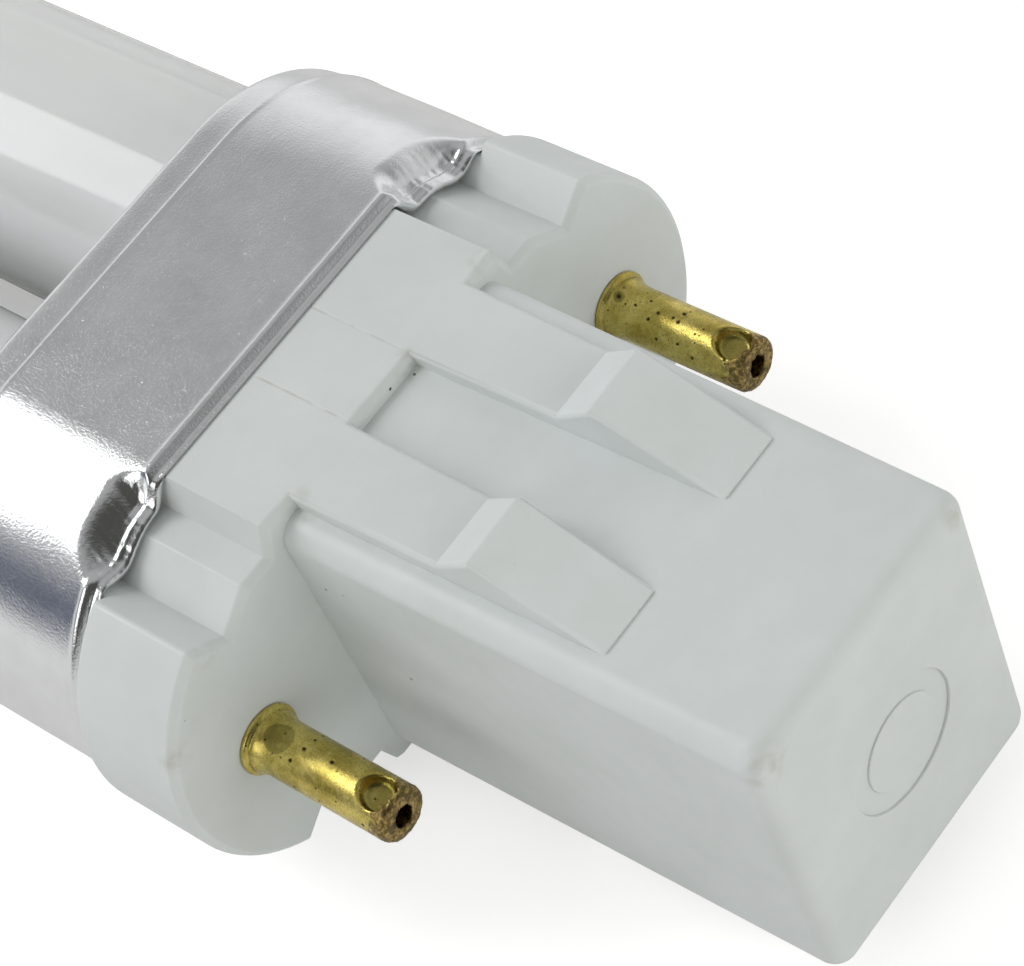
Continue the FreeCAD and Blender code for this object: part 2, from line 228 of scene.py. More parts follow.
def add_bump(height, distance, strength=1.0, under=None):
    inputs = {"Height": height, "Distance": distance, "Strength": strength}
    if under:
        inputs["Normal"] = under
    return add_node(height.id_data, "ShaderNodeBump", inputs).outputs[0]


def new_finish(name):
    material = bpy.data.materials.new(name)
    material.use_nodes = True
    tree = material.node_tree
    return material, tree, tree.nodes["Principled BSDF"]


print("noise is stretched from", NOISE_SPAN)

# %% [markdown]
# ## Floor
# The lamp lies on a large white sheet, which keeps the lamp's shadow. The sheet glows where
# the camera looks at it, so that it comes out white, and hardly at all where metal or glass
# mirrors it. A Light Path node tells the two apart. Between the tube's legs, where little
# light arrives, the glow is less.

# %% Floor
FLOOR_HALF = 3.0
FLOOR_CORNERS = ((-1, -1), (1, -1), (1, 1), (-1, 1))
FLOOR_WHITE = (0.77, 0.765, 0.76, 1)
FLOOR_GLOW = 0.56
MIRRORED_GLOW = 0.04
SHADED_HALF, SHADED_FROM, SHADED_TO = 7.0, 16.0, 124.0
SHADED_SHARE = 0.45


def leg_shade(tree):
    """1 on the sheet between the tube's legs."""
    axes = object_axes(tree)
    sideways = math_node("ABSOLUTE", axes["X"])
    inside = math_node("LESS_THAN", sideways, SHADED_HALF * MM)
    behind = math_node("GREATER_THAN", axes["Y"], lamp_point(0, SHADED_FROM, 0).y)
    before = math_node("LESS_THAN", axes["Y"], lamp_point(0, SHADED_TO, 0).y)
    return times(inside, times(behind, before))


def floor_glow(tree):
    """Full where the camera looks at the floor, less in metal or glass and between the legs."""
    path = add_node(tree, "ShaderNodeLightPath").outputs
    mirrored = larger(path["Is Glossy Ray"], path["Is Transmission Ray"])
    seen = spread(leg_shade(tree), 0.0, 1.0, FLOOR_GLOW, FLOOR_GLOW * SHADED_SHARE)
    direct = times(path["Is Camera Ray"], seen)
    return larger(direct, times(mirrored, MIRRORED_GLOW))


def floor_finish():
    material, tree, _ = new_finish("white_sheet")
    tree.nodes.clear()
    paper = add_node(tree, "ShaderNodeBsdfDiffuse", {"Color": FLOOR_WHITE})
    shine = add_node(tree, "ShaderNodeEmission", {"Strength": floor_glow(tree)})
    both = add_node(tree, "ShaderNodeAddShader", {0: paper.outputs[0], 1: shine.outputs[0]})
    add_node(tree, "ShaderNodeOutputMaterial", {"Surface": both.outputs[0]})
    return material


def floor_mesh():
    mesh = bpy.data.meshes.new("white_sheet")
    points = [(x * FLOOR_HALF, y * FLOOR_HALF, 0) for x, y in FLOOR_CORNERS]
    mesh.from_pydata(points, [], [(0, 1, 2, 3)])
    mesh.materials.append(floor_finish())
    return mesh


floor = bpy.data.objects.new("white_sheet", floor_mesh())
show(floor)
print("floor", 2 * FLOOR_HALF, "m wide")

# %% [markdown]
# ## Tent
# The world is a white photo tent: white near the ground, greyer above, a little brighter on
# the right and open, so dark, on the camera's side. A dark gap on the left shows as a streak
# in the shell. Metal needs such dark places to look like metal.

# %% Tent
TENT_LOW = (0.86, 0.86, 0.865, 1)
TENT_MIDDLE = (0.74, 0.74, 0.74, 1)
TENT_HIGH = (0.35, 0.355, 0.355, 1)
TENT_TOP = (0.44, 0.44, 0.44, 1)
TENT_STOPS = ((0.03, TENT_LOW), (0.42, TENT_MIDDLE), (0.68, TENT_HIGH), (1.0, TENT_TOP))
TENT_LEAN = 0.15
FRONT_SPAN = (-0.1, -0.5)
FRONT_SHADE = 0.75
TENT_GAP = (0.13, 0.145, 0.19, 1)
GAP_TURN, GAP_RISE = 139.0, 13.0
GAP_SPAN = (0.31, 0.18)
TENT_OPENING = (0.08, 0.08, 0.075, 1)
OPENING_LEAN = 1.0
OPENING_SPAN = (-0.42, -0.75)


def sky_direction(turn, rise):
    """Direction at an angle round the lamp, counted from the right pin's side, and a height."""
    turn, rise = math.radians(turn), math.radians(rise)
    level = math.cos(rise)
    return Vector((math.cos(turn) * level, math.sin(turn) * level, math.sin(rise)))


def tent_wall(tree, axes):
    """Colour by height, brighter on the right and greyer in front."""
    ramp = add_node(tree, "ShaderNodeValToRGB", {"Fac": axes["Z"]})
    stops = ramp.color_ramp.elements
    for place, _ in TENT_STOPS[1:-1]:
        stops.new(place)
    for stop, (place, colour) in zip(stops, TENT_STOPS):
        stop.position = place
        stop.color = colour
    lean = plus(times(axes["X"], TENT_LEAN), 1.0)
    front = spread(axes["Y"], *FRONT_SPAN, 1.0, FRONT_SHADE)
    inputs = {0: ramp.outputs["Color"], "Scale": times(lean, front)}
    return add_node(tree, "ShaderNodeVectorMath", inputs, operation="SCALE").outputs[0]


def tent_world():
    world = bpy.data.worlds.new("photo_tent")
    world.use_nodes = True
    tree = world.node_tree
    tree.nodes.clear()
    direction = add_node(tree, "ShaderNodeTexCoord").outputs["Generated"]
    axes = add_node(tree, "ShaderNodeSeparateXYZ", {0: direction}).outputs
    gap_at = {0: direction, 1: sky_direction(GAP_TURN, GAP_RISE)}
    gap = add_node(tree, "ShaderNodeVectorMath", gap_at, operation="DISTANCE").outputs["Value"]
    gap = spread(gap, *GAP_SPAN)
    colour = mix_colour(gap, tent_wall(tree, axes), TENT_GAP)
    forward = plus(axes["Y"], times(axes["X"], OPENING_LEAN))
    opening = spread(forward, *OPENING_SPAN)
    colour = mix_colour(opening, colour, TENT_OPENING)
    background = add_node(tree, "ShaderNodeBackground", {"Color": colour})
    add_node(tree, "ShaderNodeOutputWorld", {"Surface": background.outputs[0]})
    return world


bpy.context.scene.view_settings.view_transform = "Standard"
bpy.context.scene.world = tent_world()
print("tent", len(TENT_STOPS), "shades by height")

# %% [markdown]
# ## Soft lights
# Three soft lights work with the tent. The key is the wide window that shows as a sharp band
# in the glass and as the blown-out end of the shell, so its direction and width were read
# back from those reflections. The fill is a wide panel in front, left out of reflections,
# where it would make a spot in the metal. A weak light on the left lifts the cap's slopes.

# %% Soft lights
LIT_POINT = lamp_point(0, 6.1, 2.3)
LIGHT_DISTANCE = 0.5
KEY = {"turn": 108.0, "rise": 45.0, "width": 0.265, "height": 0.29, "power": 1.13}
FILL = {"turn": -88.0, "rise": 14.0, "width": 0.9, "height": 0.26, "power": 1.6}
SIDE = {"turn": 178.0, "rise": 30.0, "width": 0.3, "height": 0.3, "power": 0.55}
FILL_COLOUR = (1.0, 0.99, 0.93)


def soft_light(name, turn, rise, width, height, power):
    data = bpy.data.lights.new(name, "AREA")
    data.shape = "RECTANGLE"
    data.size = width
    data.size_y = height
    data.energy = power
    light = bpy.data.objects.new(name, data)
    towards = sky_direction(turn, rise)
    light.location = LIT_POINT + towards * LIGHT_DISTANCE
    light.rotation_euler = towards.to_track_quat("Z", "Y").to_euler()
    show(light)
    return light


soft_light("key_window", **KEY)
fill = soft_light("fill_panel", **FILL)
fill.data.color = FILL_COLOUR
fill.visible_glossy = False
soft_light("side_on_left", **SIDE)

# %% [markdown]
# ## Marks and specks
# Wear comes in two kinds. A mark that can be pointed at is a place and a reach in
# millimetres, and a Distance node fades it out. Dots scattered by chance are the middles of
# a few cells of a Voronoi pattern, picked by the random colour each cell has.

# %% Marks and specks
DOT_CORE = 0.6
PICKED_CORE = 0.9


def near_spots(tree, spots, core=0.0):
    """1 in the core of each marked place, falling to 0 at its reach."""
    coords = object_coords(tree)
    total = 0.0
    for x, y, z, reach in spots:
        inputs = {0: coords, 1: lamp_point(x, y, z)}
        away = add_node(tree, "ShaderNodeVectorMath", inputs, operation="DISTANCE")
        near = spread(away.outputs["Value"], core * reach * MM, reach * MM, 1.0, 0.0)
        total = larger(near, total)
    return total


def specks(tree, cells, size, share):
    """Scattered dots in a share of the cells, counted per metre."""
    inputs = {"Vector": surface_place(tree), "Scale": cells}
    pattern = add_node(tree, "ShaderNodeTexVoronoi", inputs).outputs
    dot = spread(pattern["Distance"], size, size * DOT_CORE)
    picked = add_node(tree, "ShaderNodeSeparateColor", {0: pattern["Color"]}).outputs[0]
    return times(dot, spread(picked, share, share * PICKED_CORE))


print("dots are full to", DOT_CORE, "of their size")

# %% [markdown]
# ## White plastic
# The cap is moulded in a dull, cool white. A plain colour would look like paper, so the
# finish mixes cloudy shade, a fine moulded grain, brownish painted shade in the inner
# corners, brownish spots at marked places, two fine mould lines and a few dark specks.

# %% White plastic
PLASTIC_LIGHT = (0.665, 0.70, 0.70, 1)
PLASTIC_SHADE = (0.62, 0.655, 0.645, 1)
PLASTIC_CLOUDS, PLASTIC_GLOSS = 260, 900
PLASTIC_ROUGH = (0.36, 0.52)
PLASTIC_GRAIN = 5200
GRAIN_DEPTH = 0.012 * MM
SOIL_AND_SHADE = (0.30, 0.27, 0.16, 1)
# The inner corners get painted shade: a brownish darkening wherever occlusion is high.
CORNER_REACH = 0.3 * MM
CORNER_SPAN = (0.75, 0.35)
SOIL_PATCHES = 700
PATCH_SPAN = (0.42, 0.62)
SPOT_CLOUDS = 1500
SPOT_SPAN = (0.4, 0.75)
CORNER_SHADE, SPOT_DARKENING, LINE_SOIL = 0.18, 0.5, 0.35
RIB_SIDE_X = 1.8
LINE_HALF, LINE_CORE = 0.07, 0.028
LINE_DEPTH = 0.012 * MM
SPECK = (0.02, 0.02, 0.018, 1)
DARK_SPECKS = (
    (1.4, -0.2, 7.75, 0.1),
    (0.3, 0.0, 8.0, 0.09),
    (-6.8, -2.1, 4.9, 0.12),
    (-4.6, -7.4, 9.2, 0.1),
)
# Brownish darkening at marked places, such as the foot of the channel's wall and the corners of the
# post's end.
BROWNISH_SPOTS = (
    (1.5, 0.0, 8.0, 0.9),
    (-5.5, -0.3, 8.0, 0.9),
    (6.8, 0.3, 8.4, 1.1),
    (-11.8, 0.0, 6.3, 0.8),
    (-15.0, 0.1, 3.5, 1.0),
    (-5.8, -21.7, 6.8, 1.2),
    (5.7, -21.7, 6.9, 0.9),
)


def mould_lines(tree):
    """Fine lines on the plateau, where the ribs' inner sides run on to the shell."""
    axes = object_axes(tree)
    sideways = math_node("ABSOLUTE", axes["X"])
    from_rib = math_node("SUBTRACT", sideways, RIB_SIDE_X * MM)
    away = math_node("ABSOLUTE", from_rib)
    line = spread(away, LINE_HALF * MM, LINE_CORE * MM)
    return times(line, math_node("GREATER_THAN", axes["Y"], SHOULDER_Y))


def corner_shade_and_spots(tree, patches):
    """Painted shade in patches of the inner corners, and brownish darkening at the marked places."""
    # Painted shade: corners that the occlusion node finds closed in are darkened.
    closed_in = spread(openness(tree, CORNER_REACH), *CORNER_SPAN)
    corner_shade = times(times(closed_in, patches), CORNER_SHADE)
    broken = spread(noise_field(tree, SPOT_CLOUDS, detail=3.0), *SPOT_SPAN)
    at_spots = times(times(near_spots(tree, BROWNISH_SPOTS), broken), SPOT_DARKENING)
    return larger(corner_shade, at_spots)


def plastic_colour(tree, lines):
    cloud = noise_field(tree, PLASTIC_CLOUDS, detail=4.0, roughness=0.6)
    colour = mix_colour(stretched(cloud), PLASTIC_SHADE, PLASTIC_LIGHT)
    patches = noise_field(tree, SOIL_PATCHES, detail=3.0, roughness=0.6)
    patches = spread(patches, *PATCH_SPAN)
    colour = mix_colour(corner_shade_and_spots(tree, patches), colour, SOIL_AND_SHADE)
    in_lines = times(lines, times(patches, LINE_SOIL))
    colour = mix_colour(in_lines, colour, SOIL_AND_SHADE)
    scattered = specks(tree, cells=420, size=0.035, share=0.22)
    dots = larger(scattered, near_spots(tree, DARK_SPECKS, core=0.5))
    return mix_colour(dots, colour, SPECK)


def white_plastic():
    material, tree, shader = new_finish("white_plastic_soiled_and_shaded")
    lines = mould_lines(tree)
    colour = plastic_colour(tree, lines)
    rough = noise_field(tree, PLASTIC_GLOSS, detail=3.0)
    rough = stretched(rough, *PLASTIC_ROUGH)
    grain = noise_field(tree, PLASTIC_GRAIN, detail=3.0, roughness=0.6)
    relief = add_bump(grain, GRAIN_DEPTH, strength=0.6)
    relief = add_bump(times(lines, -1.0), LINE_DEPTH, strength=0.7, under=relief)
    set_inputs(shader, {"Base Color": colour, "Roughness": rough, "Normal": relief})
    return material


PLASTIC = white_plastic()
print("finish", PLASTIC.name, len(PLASTIC.node_tree.nodes), "nodes")

# %% [markdown]
# ## Drawn aluminium
# The shell is bright sheet, drawn and crimped. Its surface has a fine grain and faint
# brushed lines, and handling has left scratches in all directions and small dings that
# glint. Stretched noise, cut off near its peak, gives thin lines, and two layers at
# different angles stop them looking combed.

# %% Drawn aluminium
ALUMINIUM_BRIGHT = (0.83, 0.84, 0.85, 1)
ALUMINIUM_DULL = (0.75, 0.76, 0.765, 1)
DULL_CLOUDS = 420
DULL_SPAN = (0.35, 0.7)
SHEET_GLOSS = 1600
SHEET_ROUGH = (0.1, 0.16)
SCRATCH_FADE = 0.06
SCRATCH_ROUGH = 0.12
SCRATCH_DEPTH = 0.0012 * MM
BRUSH_STRETCH = (180, 9000, 180)
BRUSH_DEPTH = 0.0026 * MM
SHEET_GRAIN = 9500
SHEET_GRAIN_DEPTH = 0.012 * MM
DING_DEPTH = 0.005 * MM


def scratches(tree, turn, across, along, keep):
    """Thin lines: noise stretched along one direction and kept only at its peaks."""
    place = surface_place(tree, (across, along, across), (0, 0, math.radians(turn)))
    return spread(noise_field(tree, place=place), keep, keep + SCRATCH_FADE)


def sheet_relief(tree, lines):
    """Brushed lines, the sheet's grain, scratches and dings, each bump on the one before."""
    brushed = noise_field(tree, place=surface_place(tree, BRUSH_STRETCH))
    relief = add_bump(brushed, BRUSH_DEPTH)
    grain = noise_field(tree, SHEET_GRAIN, detail=3.0, roughness=0.65)
    relief = add_bump(grain, SHEET_GRAIN_DEPTH, under=relief)
    relief = add_bump(lines, SCRATCH_DEPTH, strength=0.7, under=relief)
    dings = specks(tree, cells=1300, size=0.13, share=0.12)
    return add_bump(dings, DING_DEPTH, strength=0.6, under=relief)


def drawn_aluminium():
    material, tree, shader = new_finish("aluminium_drawn")
    dull = noise_field(tree, DULL_CLOUDS, detail=4.0, roughness=0.65)
    dull = spread(dull, *DULL_SPAN)
    colour = mix_colour(dull, ALUMINIUM_BRIGHT, ALUMINIUM_DULL)
    one_way = scratches(tree, turn=20, across=9000, along=700, keep=0.7)
    other_way = scratches(tree, turn=-48, across=8000, along=900, keep=0.72)
    lines = larger(one_way, other_way)
    rough = noise_field(tree, SHEET_GLOSS, detail=4.0, roughness=0.7)
    rough = stretched(rough, *SHEET_ROUGH)
    rough = plus(rough, times(lines, SCRATCH_ROUGH))
    relief = sheet_relief(tree, lines)
    set_inputs(shader, {"Base Color": colour, "Roughness": rough, "Normal": relief, "Metallic": 1.0})
    return material


ALUMINIUM = drawn_aluminium()
print("finish", ALUMINIUM.name, len(ALUMINIUM.node_tree.nodes), "nodes")

# %% [markdown]
# ## Tarnished brass
# The pins are brass tube, bright where contacts rubbed them, with fine grime and dark pits,
# and painted shade in the dimple and the crevices. At the tip the metal is torn into bright
# and dark coppery flecks. One noise sets the tarnish and a finer one the grime, marked places
# and a cell pattern set the pits, a marked place and an occlusion node set the painted shade,
# and the distance along the pin, made ragged, fades in the copper.

# %% Brass values
BRASS_BRIGHT = (0.73, 0.60, 0.18, 1)
BRASS_DULL = (0.40, 0.31, 0.055, 1)
BRASS_MARK_AND_SHADE = (0.22, 0.19, 0.05, 1)
PIT_AND_SHADE_DARK = (0.05, 0.035, 0.012, 1)
TORN_BRIGHT = (0.62, 0.42, 0.16, 1)
TORN_DARK = (0.13, 0.09, 0.038, 1)
DULL_MARKS = (
    (-11.6, -1.25, 1.17, 0.67),
    (11.25, -0.62, 1.15, 0.26),
)
# Painted shade in the punched dimple near each pin's tip.
DIMPLE_SHADE_SPOTS = (
    (-11.5, -6.15, 0.5, 0.85),
    (11.5, -6.15, 0.5, 0.85),
)
PIN_PITS = (
    (-11.5, -2.49, 1.18, 0.11),
    (-11.4, -3.85, 1.18, 0.12),
    (-12.1, -2.2, 1.02, 0.11),
    (-10.95, -2.53, 1.04, 0.08),
    (-10.56, -2.48, 0.72, 0.1),
    (11.25, -0.62, 1.15, 0.17),
    (10.93, -2.31, 1.03, 0.1),
    (11.29, -2.59, 1.16, 0.1),
    (11.71, -3.6, 1.16, 0.12),
    (11.28, -3.61, 1.16, 0.1),
    (11.22, -1.47, 1.15, 0.08),
    (11.65, -1.97, 1.17, 0.08),
    (10.48, -2.91, 0.6, 0.09),
    (10.58, -3.95, 0.74, 0.09),
    (10.42, -4.74, 0.47, 0.1),
)
PIN_TIP_Y = lamp_box("pin_left")[0].y
print("pin tip at", round(PIN_TIP_Y, 2), "mm,", len(PIN_PITS), "marked pits")

# %% [markdown]
# The marks go on in layers, from the widest to the smallest, so that a pit stays dark on
# tarnish and on clean metal alike. The same fields then drive the roughness and the bumps.

# %% Tarnished brass
TARNISH_CLOUDS, TARNISH_SPAN = 900, (0.38, 0.68)
GRIME_GRAIN, GRIME_SPAN, GRIME_SHARE = 11000, (0.52, 0.66), 0.65
DIMPLE_SHADE_SHARE = 0.55
MARK_SHARES = (0.55, 0.9)
COPPER_FROM, COPPER_FULL = 1.1, 0.3
RAGGED_CLOUDS, RAGGED_REACH = 1800, 0.4
TORN_SPAN, TORN_SHARE = (0.45, 0.65), 0.9
SHRED_GRAIN, SHRED_SPAN = 5200, (0.46, 0.62)
CREVICE_REACH = 0.5 * MM
CREVICE_SPAN, CREVICE_SHADE_SHARE = (0.8, 0.3), 0.85
BRASS_GLOSS, BRASS_ROUGH = 2600, (0.2, 0.34)
TORN_ROUGH, MARK_ROUGH = 0.1, 0.25
WEAR_GRAIN = 9000
WEAR_DEPTH = 0.012 * MM
TORN_RELIEF = 0.035 * MM
PIT_DEPTH = 0.03 * MM


def brass_pits(tree):
    wide = specks(tree, cells=1500, size=0.13, share=0.2)
    small = specks(tree, cells=3600, size=0.2, share=0.22)
    return larger(larger(wide, small), near_spots(tree, PIN_PITS, core=0.5))


def torn_tip(tree):
    """1 at the torn tip of a pin, with a ragged border."""
    start = lamp_point(0, PIN_TIP_Y + COPPER_FROM, 0).y
    end = lamp_point(0, PIN_TIP_Y + COPPER_FULL, 0).y
    along = spread(object_axes(tree)["Y"], start, end)
    ragged = noise_field(tree, RAGGED_CLOUDS, detail=3.0, roughness=0.6)
    ragged = stretched(ragged, -RAGGED_REACH, RAGGED_REACH)
    return spread(plus(along, ragged), *TORN_SPAN)


def worn_and_shaded_colour(tree, tarnish, mark, pits):
    colour = mix_colour(tarnish, BRASS_BRIGHT, BRASS_DULL)
    grime = noise_field(tree, GRIME_GRAIN, detail=3.0, roughness=0.7)
    grime = spread(grime, *GRIME_SPAN, 0.0, GRIME_SHARE)
    colour = mix_colour(grime, colour, BRASS_MARK_AND_SHADE)
    # Painted shade darkens the dimple.
    dimple_shade = times(near_spots(tree, DIMPLE_SHADE_SPOTS, core=0.7), DIMPLE_SHADE_SHARE)
    colour = mix_colour(dimple_shade, colour, BRASS_MARK_AND_SHADE)
    colour = mix_colour(mark, colour, BRASS_MARK_AND_SHADE)
    return mix_colour(pits, colour, PIT_AND_SHADE_DARK)


def torn_and_shaded_colour(tree, colour, torn, shreds):
    """The colour with coppery shreds at the tip and painted shade in the crevices."""
    bright = spread(shreds, *SHRED_SPAN)
    copper = mix_colour(bright, TORN_DARK, TORN_BRIGHT)
    colour = mix_colour(times(torn, TORN_SHARE), colour, copper)
    # Painted shade in crevices that occlusion finds, such as the dimple's wall and the collar's
    # groove.
    crevice_shade = openness(tree, CREVICE_REACH)
    crevice_shade = spread(crevice_shade, *CREVICE_SPAN, 0.0, CREVICE_SHADE_SHARE)
    return mix_colour(crevice_shade, colour, PIT_AND_SHADE_DARK)


def brass_relief(tree, pits, torn, shreds):
    wear = noise_field(tree, WEAR_GRAIN, detail=4.0, roughness=0.65)
    relief = add_bump(wear, WEAR_DEPTH)
    relief = add_bump(times(shreds, torn), TORN_RELIEF, under=relief)
    return add_bump(times(pits, -1.0), PIT_DEPTH, strength=0.8, under=relief)


def tarnished_shaded_brass():
    material, tree, shader = new_finish("brass_tarnished_shaded")
    tarnish = noise_field(tree, TARNISH_CLOUDS, detail=5.0, roughness=0.65)
    tarnish = spread(tarnish, *TARNISH_SPAN)
    uneven = spread(tarnish, 0.0, 1.0, *MARK_SHARES)
    mark = times(near_spots(tree, DULL_MARKS, core=0.9), uneven)
    pits = brass_pits(tree)
    torn = torn_tip(tree)
    shreds = noise_field(tree, SHRED_GRAIN, detail=4.0, roughness=0.7)
    colour = torn_and_shaded_colour(tree, worn_and_shaded_colour(tree, tarnish, mark, pits), torn, shreds)
    rough = noise_field(tree, BRASS_GLOSS, detail=3.0)
    rough = stretched(rough, *BRASS_ROUGH)
    dulled = plus(times(torn, TORN_ROUGH), times(mark, MARK_ROUGH))
    rough = plus(rough, dulled)
    relief = brass_relief(tree, pits, torn, shreds)
    set_inputs(shader, {"Base Color": colour, "Roughness": rough, "Normal": relief, "Metallic": 1.0})
    return material


BRASS = tarnished_shaded_brass()
print("finish", BRASS.name, len(BRASS.node_tree.nodes), "nodes")

# %% [markdown]
# ## Coated glass
# The tube is clear glass with a white powder on its inner wall. Refraction fills the whole
# width with the powder's white, so one surface is enough: a white base under a smooth
# glassy reflection. Subsurface light softens its shadows, as the lit powder does. The base
# is greyer at the edges, where the glass is seen at a slant, and has faint streaks and dots.

# %% Coated glass
POWDER_LIGHT = (0.71, 0.72, 0.73, 1)
POWDER_SHADE = (0.66, 0.675, 0.67, 1)
POWDER_STRETCH = (420, 40, 420)
POWDER_DOTS = 0.6
GLASS_EDGE = (0.54, 0.57, 0.565, 1)
SLANT_SPAN, SLANT_SHARE = (0.72, 0.95), 0.7
GLASS_IOR = 1.52
GLASS_REFLECTION = 0.33
GLASS_ROUGH = (0.09, 0.2)
GLASS_SCRATCH = 0.002 * MM
GLOW_TINT = (1.0, 1.0, 0.9)
GLOW_DEPTH = 9 * MM


def powder_colour(tree):
    place = surface_place(tree, POWDER_STRETCH)
    streak = noise_field(tree, detail=3.0, place=place)
    colour = mix_colour(stretched(streak), POWDER_SHADE, POWDER_LIGHT)
    dots = times(specks(tree, cells=260, size=0.03, share=0.2), POWDER_DOTS)
    colour = mix_colour(dots, colour, POWDER_SHADE)
    slant = add_node(tree, "ShaderNodeLayerWeight").outputs["Facing"]
    slant = spread(slant, *SLANT_SPAN, 0.0, SLANT_SHARE)
    return mix_colour(slant, colour, GLASS_EDGE)


def coated_glass():
    material, tree, shader = new_finish("glass_coated")
    colour = powder_colour(tree)
    set_inputs(shader, {"IOR": GLASS_IOR, "Specular IOR Level": GLASS_REFLECTION})
    set_inputs(shader, {"Subsurface Weight": 1.0, "Subsurface Radius": GLOW_TINT})
    set_inputs(shader, {"Subsurface Scale": GLOW_DEPTH})
    lines = scratches(tree, turn=35, across=3600, along=120, keep=0.7)
    rough = spread(lines, 0.0, 1.0, *GLASS_ROUGH)
    relief = add_bump(lines, GLASS_SCRATCH, strength=0.4)
    set_inputs(shader, {"Base Color": colour, "Roughness": rough, "Normal": relief})
    return material


GLASS = coated_glass()
print("finish", GLASS.name, len(GLASS.node_tree.nodes), "nodes")

# %% [markdown]
# ## Adding a piece
# A new piece rides on the lamp's one body and, where it is a finer version of a solid, hides
# that solid. A skin over rows of points makes the shell and the pins: each row goes once
# round, and neighbouring rows share quads.

# %% Piece helpers
def add_piece(name, mesh, finish, replaced):
    piece = bpy.data.objects.new(name, mesh)
    show(piece)
    mesh.materials.clear()
    mesh.materials.append(finish)
    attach(piece, "root")
    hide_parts(replaced)
    mesh.update()
    print(name, len(mesh.polygons), "faces")


def skin(name, rows):
    """Closed mesh over rows of points: each row is a ring, and the last row joins the first."""
    count = len(rows[0])
    points = [lamp_point(*p) for row in rows for p in row]
    faces = []
    for i in range(len(rows)):
        below = i * count
        above = (i + 1) % len(rows) * count
        for j in range(count):
            k = (j + 1) % count
            faces.append((below + j, below + k, above + k, above + j))
    mesh = bpy.data.meshes.new(name)
    mesh.from_pydata(points, [], faces)
    shape = bmesh.new()
    shape.from_mesh(mesh)
    bmesh.ops.recalc_face_normals(shape, faces=shape.faces)
    shape.to_mesh(mesh)
    shape.free()
    mesh.shade_smooth()
    return mesh


print("the frame has", len(frame["nodes"]), "solids to dress or replace")

# %% [markdown]
# ## The moulded cap
# The solid's flat faces are right, but the outer edges of a moulding are a little round. A
# copy of the solid is welded, its triangles are joined back into flat faces, and a Bevel
# modifier rounds the outer edges by their weights. Inner corners and the ribs' low toes stay
# crisp, and the recess in the post's end is made shallower. Weighted normals keep the flats
# flat beside the round edges.

# %% Moulded cap
WELD = 0.0005 * MM
FLAT_ANGLE = math.radians(0.4)
BENT_ANGLE = math.radians(18)
SHARP_ANGLE = math.radians(50)
EDGE_ROUND = 0.18 * MM
BENT_SHARE = 0.4
EDGE_STEPS = 4
STEP_SHARE = 0.45
RECESS_RADIUS = 3.0
POST_HALF = 7.7
RECESS_DEEPEST = 0.6
RECESS_SHARE = 0.3
TOE_Y = -14.4
TOE_STEP = 0.25


def welded_copy(node, name):
    shape = bmesh.new()
    shape.from_mesh(frame["nodes"][node].data)
    bmesh.ops.remove_doubles(shape, verts=shape.verts, dist=WELD)
    bmesh.ops.dissolve_limit(shape, angle_limit=FLAT_ANGLE, verts=shape.verts, edges=shape.edges)
    mesh = bpy.data.meshes.new(name)
    shape.to_mesh(mesh)
    shape.free()
    return mesh


def finished_mesh(source, name):
    """Plain mesh of an object with its modifiers worked in."""
    view = bpy.context.evaluated_depsgraph_get()
    mesh = bpy.data.meshes.new_from_object(source.evaluated_get(view))
    mesh.name = name
    bpy.data.objects.remove(source)
    return mesh


def raise_recess(mesh):
    """The round recess in the post's end is shallow, so its floor comes part of the way up."""
    end = lamp_box("cap_moulding")[0].y
    for vertex in mesh.vertices:
        x, y, z = (vertex.co - lamp_point(0, 0, 0)) / MM
        if y - end < RECESS_DEEPEST and math.hypot(x, z) < RECESS_RADIUS:
            vertex.co = lamp_point(x, end + (y - end) * RECESS_SHARE, z)


def thin_share(edge):
    """Less than 1 where a low step beside the edge leaves no room for full rounding."""
    beside = [other for vertex in edge.verts for other in vertex.link_edges if other != edge]
    shortest = min(other.calc_length() for other in beside)
    return min(1.0, STEP_SHARE * shortest / EDGE_ROUND)


def at_toe(edge):
    """Whether the edge ends at a rib's toe, whose step is too low to round."""
    for vertex in edge.verts:
        _, y, z = (vertex.co - lamp_point(0, 0, 0)) / MM
        if abs(y - TOE_Y) < TOE_STEP and abs(abs(z) - POST_HALF) < TOE_STEP:
            return True
    return False


def weigh_edges(mesh):
    """Full rounding for sharp outer edges, less for slight bends. Inner corners stay crisp."""
    shape = bmesh.new()
    shape.from_mesh(mesh)
    weight = shape.edges.layers.float.new("bevel_weight_edge")
    for edge in shape.edges:
        bend = edge.calc_face_angle(0.0)
        if bend < BENT_ANGLE:
            continue
        if edge.is_convex and not at_toe(edge):
            edge[weight] = min(thin_share(edge), 1.0 if bend > SHARP_ANGLE else BENT_SHARE)
        else:
            edge.smooth = False
    shape.to_mesh(mesh)
    shape.free()


def rounded_cap():
    draft = bpy.data.objects.new("cap_draft", welded_copy("cap_moulding", "cap_draft"))
    show(draft)
    raise_recess(draft.data)
    draft.data.shade_smooth()
    weigh_edges(draft.data)
    bevel = draft.modifiers.new("moulded_edges", "BEVEL")
    bevel.width = EDGE_ROUND
    bevel.segments = EDGE_STEPS
    bevel.limit_method = "WEIGHT"
    bevel.use_clamp_overlap = False
    flat = draft.modifiers.new("flat_faces", "WEIGHTED_NORMAL")
    flat.keep_sharp = True
    return finished_mesh(draft, "moulded_cap")


add_piece("moulded_cap", rounded_cap(), PLASTIC, "cap_moulding")

# %% [markdown]
# ## The crimped shell
# The shell is an oval cup of thin sheet. Its front edge is pressed into four grooves of
# the cap, and behind it a crease and a turned-in rim close it round the legs. The oval is
# laid out as columns with their outward directions, and each row says how far along and how
# far in it lies. Pressing the front rows down onto the groove's line makes the dents.

